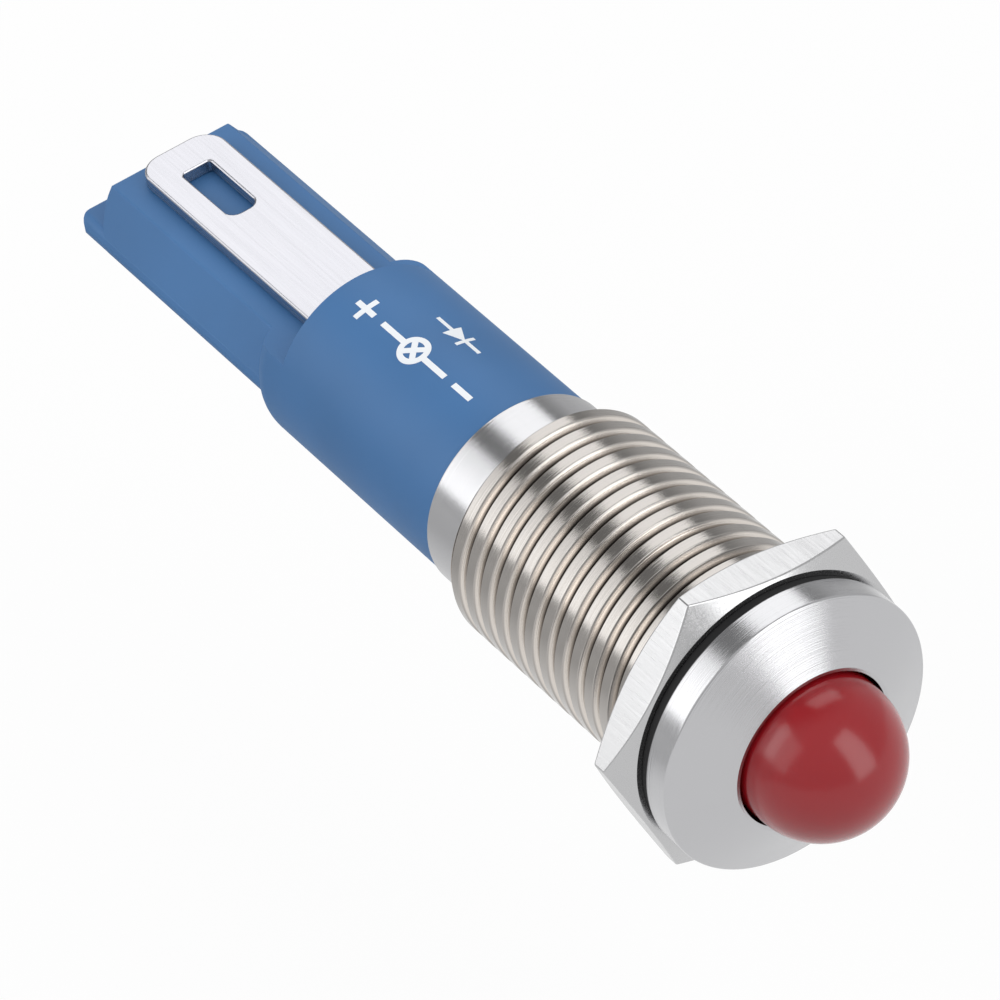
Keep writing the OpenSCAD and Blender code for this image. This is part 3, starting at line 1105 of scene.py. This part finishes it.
@dataclass(frozen=True)
class SolderTab:
    """One slotted tab: its blade on the tongue's flat and its tail down to the board."""

    pole: Pole
    width: float = RearHousing.tab_w
    thickness: float = RearHousing.tab_t
    face_in: float = RearHousing.tongue_t / 2
    seat_end: float = RearHousing.seat_end
    corner_r: float = 0.85
    slot_w: float = 1.06
    slot_l: float = 2.8
    slot_in: float = 1.36
    slot_corner_r: float = 0.37
    tail_w: float = RearHousing.tail_w
    back_wall: float = RearHousing.back_wall
    on_board: float = 0.4
    sink: float = 0.05  # how far the tail starts inside the blade
    edge: float = 0.1

    def build(self) -> Piece:
        """Stamps the blade and its slot, and bends the tail.

        Returns:
            The finished tab.
        """
        node = f"terminal_{self.pole.name.lower()}"
        low, high = box_mm(node)
        end, tail_end = high.y, low.y
        half, slot = self.width / 2, self.slot_w / 2
        rear = end - self.slot_in
        top = self.face_in + self.thickness
        tab = sawn(
            f"{node}_dressed",
            [(-half, self.seat_end), (half, self.seat_end), (half, end), (-half, end)],
            self.face_in,
            top,
            {2: self.corner_r, 3: self.corner_r},
        )
        punch = sawn(
            "punch",
            [(-slot, rear - self.slot_l), (slot, rear - self.slot_l), (slot, rear), (-slot, rear)],
            self.face_in - CLEAR,
            top + CLEAR,
            {0: self.slot_corner_r, 1: self.slot_corner_r},
        )
        machine(tab, Cut.REMOVE, punch)
        soften(tab, self.edge, 4)
        machine(tab, Cut.JOIN, self.tail(tail_end))
        if self.pole is Pole.NEGATIVE:
            with editing(tab):
                bpy.ops.transform.resize(value=(1, 1, -1), center_override=(0, 0, 0))
            seal(tab)
        return deliver(tab, TAB_TIN, "barrel", "tinned_brass_tab", node)

    def tail(self, tail_end: float) -> Piece:
        """Bends the narrow strip that steps down from the blade to the board.

        Args:
            tail_end: Where the strip ends on the board.

        Returns:
            A closed solid.
        """
        drop = self.face_in - self.on_board
        step_to = self.back_wall - drop
        lean = self.thickness / 2
        return sawn(
            "tail",
            [
                (self.seat_end + self.sink, self.face_in),
                (self.seat_end + self.sink, self.face_in + self.thickness),
                (self.back_wall - lean, self.face_in + self.thickness),
                (step_to - lean, self.on_board + self.thickness),
                (tail_end, self.on_board + self.thickness),
                (tail_end, self.on_board),
                (step_to, self.on_board),
                (self.back_wall, self.face_in),
            ],
            -self.tail_w / 2,
            self.tail_w / 2,
            turn=(QUARTER, 0, QUARTER),
        )


@dataclass(frozen=True)
class PrintedMarks:
    """Plain signs in white ink on the housing: a lamp between its two poles, and beside it a diode."""

    body_r: float = RearHousing.body_r
    ink_t: float = 0.012
    sink: float = 0.04
    half_l: float = 4.0
    punch_low: float = 1.0
    punch_high: float = 5.0
    stroke: float = 0.2
    thin: float = 0.13
    gap: float = 0.35
    overlap: float = 0.05
    lamp_r: float = 0.55
    lamp_at: float = 17.0
    lead: float = 1.2
    sign: float = 0.9
    lamp_turn_deg: float = 9.0
    diode: float = 0.7
    diode_at: float = 16.7
    diode_lead: float = 0.8
    diode_turn_deg: float = -16.0

    def build(self) -> Piece:
        """Lays a thin skin of ink and keeps it only where the signs are.

        Returns:
            The finished print.
        """
        inner, outer = self.body_r - self.sink, self.body_r + self.ink_t
        front, rear = self.lamp_at - self.half_l, self.lamp_at + self.half_l
        ink = turned(
            "printed_marks",
            [(inner, front), (outer, front), (outer, rear), (inner, rear), (inner, front)],
        )
        lamp = self.lean(self.lamp_sign(), self.lamp_turn_deg)
        diode = self.lean(self.diode_sign(), self.diode_turn_deg)
        machine(lamp, Cut.JOIN, diode)
        machine(ink, Cut.KEEP_COMMON, lamp)
        seal(ink)
        return deliver(ink, PRINT_INK, "barrel", "white_nylon")

    def lean(self, sign: Piece, degrees: float) -> Piece:
        """Turns a sign from the top of the housing round the axis.

        Args:
            sign: The sign, made over the top.
            degrees: How far it is turned.

        Returns:
            The sign.
        """
        sign.rotation_euler = (0, -math.radians(degrees), 0)
        settle(sign)
        return sign

    def disc(self, radius: float) -> Piece:
        """Makes a round punch over the lamp sign's place.

        Args:
            radius: Its radius.

        Returns:
            A closed solid.
        """
        return stock(
            "disc",
            bpy.ops.mesh.primitive_cylinder_add,
            vertices=64,
            radius=radius,
            depth=self.punch_high - self.punch_low,
            location=(0, self.lamp_at, (self.punch_low + self.punch_high) / 2),
        )

    def dash(self, behind: float, along: float, across: float, turn_deg: float = 0) -> Piece:
        """Makes a punch for one straight stroke.

        Args:
            behind: Where its middle lies behind the panel.
            along: Its length along the axis.
            across: Its width.
            turn_deg: How far it is turned.

        Returns:
            A closed solid.
        """
        return stock(
            "dash",
            bpy.ops.mesh.primitive_cube_add,
            size=1,
            location=(0, behind, (self.punch_low + self.punch_high) / 2),
            rotation=(0, 0, math.radians(turn_deg)),
            scale=(across, along, self.punch_high - self.punch_low),
        )

    def lamp_sign(self) -> Piece:
        """Makes the crossed circle with a lead to either side, the minus before it and the plus behind it.

        Returns:
            A closed solid, over the top of the housing.
        """
        circle = machine(self.disc(self.lamp_r), Cut.REMOVE, self.disc(self.lamp_r - self.stroke))
        cross = 2 * (self.lamp_r - self.overlap)
        lead_at = self.lamp_r + self.lead / 2 - self.stroke / 2
        sign_at = self.lamp_r + self.lead + self.gap + self.sign / 2
        return machine(
            circle,
            Cut.JOIN,
            self.dash(self.lamp_at, cross, self.stroke, 45),
            self.dash(self.lamp_at, cross, self.stroke, -45),
            self.dash(self.lamp_at - lead_at, self.lead, self.stroke),
            self.dash(self.lamp_at + lead_at, self.lead, self.stroke),
            self.dash(self.lamp_at - sign_at, self.sign, self.stroke),
            self.dash(self.lamp_at + sign_at, self.sign, self.stroke),
            self.dash(self.lamp_at + sign_at, self.stroke, self.sign),
        )

    def diode_sign(self) -> Piece:
        """Makes a triangle against a bar, with a lead to either side.

        Returns:
            A closed solid, over the top of the housing.
        """
        half = self.diode / 2
        triangle = sawn(
            "triangle",
            [(0, self.diode_at - half), (half, self.diode_at + half), (-half, self.diode_at + half)],
            self.punch_low,
            self.punch_high,
        )
        lead_at = half + self.diode_lead / 2 - self.overlap
        return machine(
            triangle,
            Cut.JOIN,
            self.dash(self.diode_at - half, self.thin, self.diode),
            self.dash(self.diode_at - lead_at, self.diode_lead, self.thin),
            self.dash(self.diode_at + lead_at, self.diode_lead, self.thin),
        )


@dataclass(frozen=True)
class PanelGasket:
    """The flat rubber washer behind the panel face."""

    inner_r: float = 4.05
    edge: float = 0.03

    def build(self) -> Piece:
        """Turns the washer with slightly rounded edges.

        Returns:
            The finished gasket.
        """
        low, high = box_mm("panel_gasket")
        inner, outer = self.inner_r, high.x
        gasket = turned(
            "panel_gasket_dressed",
            [(inner, low.y), (outer, low.y), (outer, high.y), (inner, high.y), (inner, low.y)],
            {1: self.edge, 2: self.edge},
        )
        return deliver(gasket, SEAL_RUBBER, "gasket", "gasket_rubber", "panel_gasket")


def dress_inner_parts() -> None:
    """Gives each inner node that stays as the CAD made it its own finish."""
    finishes = {
        "led_cathode_lead": LEAD_TIN,
        "led_anode_lead": LEAD_TIN,
        "led_chip": LED_DIE,
        "led_bond_wire": GOLD_WIRE,
        "lens_seal": SEAL_RUBBER,
        "led_spacer": NATURAL_NYLON,
        "housing_ring": SEAL_RUBBER,
        "potting": SEALING_RESIN,
        "circuit_board": BOARD_MASK,
        "series_resistor": CHIP_BODY,
        "resistor_caps": LEAD_TIN,
        "protection_diode": CHIP_BODY,
        "diode_tabs": LEAD_TIN,
        "solder_joints": SOLDER,
    }
    for node, finish in finishes.items():
        paint(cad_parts[node], finish)


# ---- studio -----------------------------------------------------------------


@dataclass(frozen=True)
class SoftBox:
    """A rectangular light that faces the lamp from some way off."""

    name: str
    toward: tuple[float, float, float]  # the way from the lamp to the light
    up: tuple[float, float, float]  # the way that the light's long side runs
    width_deg: float
    height_deg: float
    radiance: float
    distance: float = 0.5  # metres

    def build(self) -> None:
        """Hangs the light."""
        way = Vector(self.toward).normalized()
        side = Vector(self.up).cross(way).normalized()
        data = bpy.data.lights.new(self.name, "AREA")
        data.shape = "RECTANGLE"
        data.size = 2 * self.distance * math.tan(math.radians(self.width_deg) / 2)
        data.size_y = 2 * self.distance * math.tan(math.radians(self.height_deg) / 2)
        data.energy = self.radiance * math.pi * data.size * data.size_y
        light = bpy.data.objects.new(self.name, data)
        turn = Matrix((side, way.cross(side), way)).transposed().to_4x4()
        light.matrix_world = Matrix.Translation(way * self.distance) @ turn
        bpy.context.scene.collection.objects.link(light)


@dataclass(frozen=True)
class Studio:
    """Pale floor, soft room and the camera, in metres where a name doesn't say otherwise."""

    room: float = 0.66
    dark_end: float = 0.26
    dark_toward: tuple[float, float, float] = (0.15, 0.75, 0.65)
    dark_from: float = 0.55  # cosine of the angle to that side where the room begins to darken
    dark_full: float = 0.9  # and where it is darkest
    floor_size: float = 4.0
    floor_drop: float = 0.012
    floor_colour: str = "#b4b4b4"
    floor_roughness: float = 0.9
    floor_glow: float = 1.08
    floor_seen: float = 0.85  # share of the glow in what is seen directly or through the lamp
    reflected_glow_near: float = 0.8  # and in what the metal mirrors close by: a painted reflection that fades further back
    # share of the painted reflection far behind the panel
    reflected_glow_far: float = 0.24
    reflection_fade_from: float = 0.019  # the painted reflection of the floor in the metal darkens from here
    reflection_fade_to: float = 0.038  # to here behind the panel
    camera_target_mm: tuple[float, float, float] = (-3.56, 7.83, 5.44)
    camera_distance_mm: float = 192.7
    camera_azimuth_deg: float = -29.64
    camera_elevation_deg: float = 42.84
    camera_roll_deg: float = -8.72
    lens_mm: float = 238.64

    def build(self) -> None:
        """Sets the room, the lights, the floor and the camera."""
        scene = bpy.context.scene
        scene.view_settings.view_transform = "Standard"
        self.hang_room(scene)
        self.lay_floor()
        for light in (
            SoftBox("front_box", (0.36, -0.85, 0.38), (0, 0, 1), 31, 72, 1.9),
            SoftBox("left_box", (-0.79, 0.21, 0.57), (0, 0, 1), 44, 44, 0.9),
            SoftBox("rear_box_right", (0.39, 0.62, 0.68), (0, 1, 0), 37, 46, 1.5),
            SoftBox("rear_box_left", (-0.60, 0.62, 0.50), (0, 1, 0), 42, 46, 1.1),
        ):
            light.build()
        self.place_camera(scene)

    def hang_room(self, scene: bpy.types.Scene) -> None:
        """Fills the room with even soft light, darker on one side.

        Args:
            scene: The scene whose world it is.
        """
        world = bpy.data.worlds.new("soft_room")
        world.use_nodes = True
        tree = world.node_tree
        way = add_node(tree, "TexCoord").outputs["Generated"]
        dark = tuple(Vector(self.dark_toward).normalized())
        near = add_node(tree, "VectorMath", {0: way, 1: dark}, operation="DOT_PRODUCT").outputs["Value"]
        level = add_node(
            tree,
            "MapRange",
            {0: near, 1: self.dark_from, 2: self.dark_full, 3: self.room, 4: self.dark_end},
            interpolation_type="SMOOTHSTEP",
        ).outputs[0]
        tree.links.new(level, tree.nodes["Background"].inputs["Color"])
        scene.world = world

    def lay_floor(self) -> None:
        """Lays a white floor that keeps the lamp's soft shadow, and whose glow in the metal is a painted
        reflection.
        """
        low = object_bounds()[0]
        floor = stock(
            "floor",
            bpy.ops.mesh.primitive_plane_add,
            size=self.floor_size,
            location=(0, 0, low.z - self.floor_drop),
        )
        material, tree, shader = Finish("white_sweep", self.floor_colour, self.floor_roughness).begin()
        seen = add_node(tree, "LightPath")
        behind = add_node(tree, "SeparateXYZ", {0: add_node(tree, "TexCoord").outputs["Object"]}).outputs["Y"]
        # Painted reflection: the floor's glow as the metal mirrors it fades further behind the panel.
        reflection_glow_share = add_node(
            tree,
            "MapRange",
            {0: behind, 1: self.reflection_fade_from, 2: self.reflection_fade_to, 3: self.reflected_glow_near, 4: self.reflected_glow_far},
        ).outputs[0]
        glow = 0.0
        for ray, share in (
            ("Camera", self.floor_seen),
            ("Transmission", self.floor_seen),
            ("Glossy", reflection_glow_share),
        ):
            glow = reckon(tree, "MULTIPLY_ADD", seen.outputs[f"Is {ray} Ray"], share, glow)
        white = add_node(tree, "Emission", {"Color": (1, 1, 1, 1), "Strength": self.floor_glow})
        mixed = add_node(tree, "MixShader", {0: glow, 1: shader.outputs[0], 2: white.outputs[0]})
        tree.links.new(mixed.outputs[0], tree.nodes["Material Output"].inputs["Surface"])
        floor.data.materials.append(material)
        floor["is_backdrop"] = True

    def place_camera(self, scene: bpy.types.Scene) -> None:
        """Sets the camera by its direction, distance and roll.

        Args:
            scene: The scene that looks through it.
        """
        azimuth, elevation = math.radians(self.camera_azimuth_deg), math.radians(self.camera_elevation_deg)
        way = Vector(
            (
                math.sin(azimuth) * math.cos(elevation),
                -math.cos(azimuth) * math.cos(elevation),
                math.sin(elevation),
            )
        )
        data = bpy.data.cameras.new("camera")
        data.lens = self.lens_mm
        data.clip_start = 0.01
        camera = bpy.data.objects.new("camera", data)
        camera.location = (Vector(self.camera_target_mm) + way * self.camera_distance_mm) * MM
        roll = Matrix.Rotation(math.radians(self.camera_roll_deg), 3, "Z")
        turn = way.to_track_quat("Z", "Y").to_matrix() @ roll
        camera.rotation_euler = turn.to_euler()
        scene.collection.objects.link(camera)
        scene.camera = camera


def main() -> None:
    """Builds the pilot light's pieces and the studio, and logs each piece's face count."""
    logging.basicConfig(level=logging.INFO, format="%(name)s: %(message)s")
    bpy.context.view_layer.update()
    pieces = [
        BezelBushing(),
        PanelNut(),
        PanelGasket(),
        DomeLamp(),
        RearHousing(),
        SolderTab(Pole.POSITIVE),
        SolderTab(Pole.NEGATIVE),
        PrintedMarks(),
    ]
    for piece in pieces:
        made = piece.build()
        log.info("%s: %d faces", made.name, len(made.data.polygons))
    dress_inner_parts()
    Studio().build()


if __name__ == "__main__":
    main()
